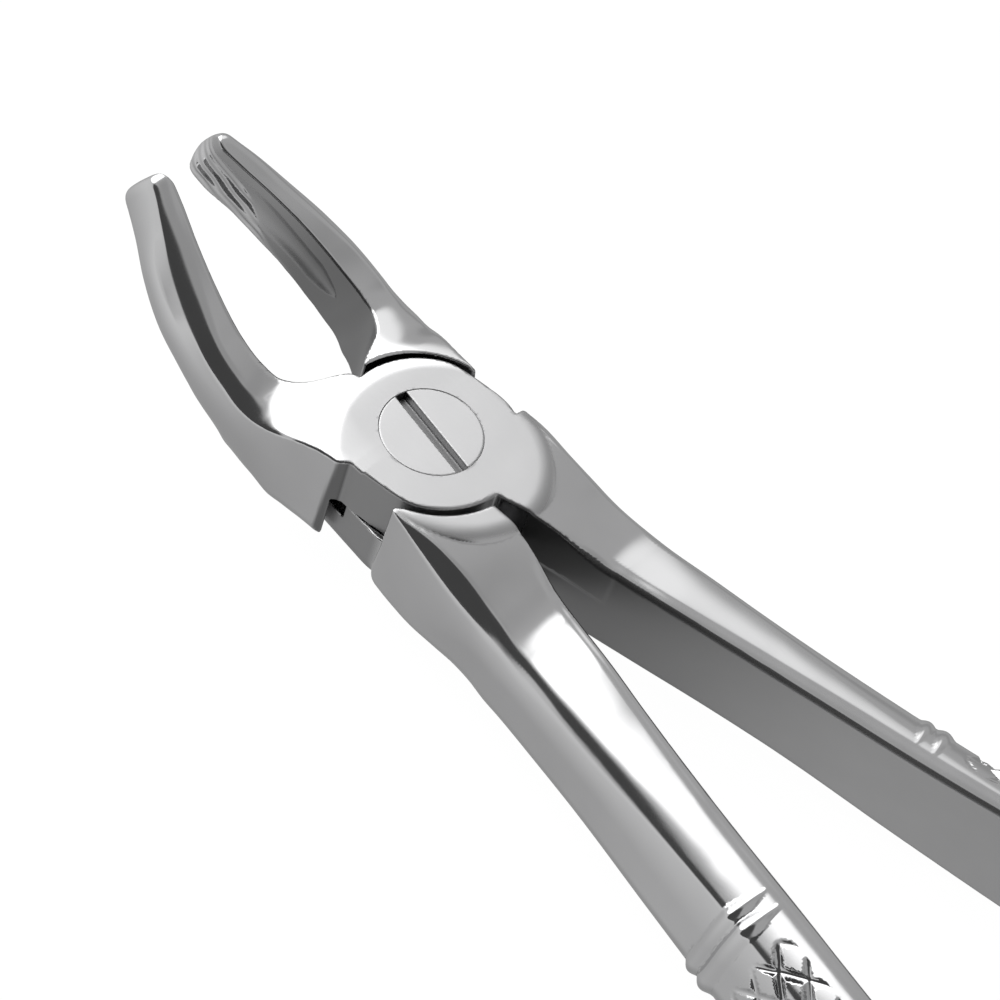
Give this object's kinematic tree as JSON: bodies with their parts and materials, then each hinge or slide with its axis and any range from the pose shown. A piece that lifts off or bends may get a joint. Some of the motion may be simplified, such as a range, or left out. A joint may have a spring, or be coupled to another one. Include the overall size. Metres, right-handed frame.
{
  "type": "dental extraction forceps",
  "caption": "Hand instrument with two hinged steel halves: upturned serrated beaks, a flat lap joint with a slotted screw, and long cross-hatched grips.",
  "frame": {"origin": "on the pivot axis at the joint's flat back face", "axes": "+X along the instrument towards the beak tips, +Y towards the front half's beak, +Z along the pivot towards the screw head"},
  "size_m": [0.1753, 0.0496, 0.0213],
  "materials": {
    "front_steel": "mirror-polished forged stainless steel, satin on the joint face",
    "back_steel": "mirror-polished forged stainless steel, satin on the joint face",
    "screw_steel": "satin turned stainless steel, ground flush"
  },
  "bodies": {
    "back": {"back_half": "back_steel", "pivot_screw": "screw_steel"},
    "front": {"front_half": "front_steel"}
  },
  "joints": [
    {"name": "jaw_hinge", "type": "hinge", "parent": "back", "child": "front", "pos_m": [0, 0, 0], "axis": [0, 0, 1], "range_deg": [-6, 26]}
  ]
}
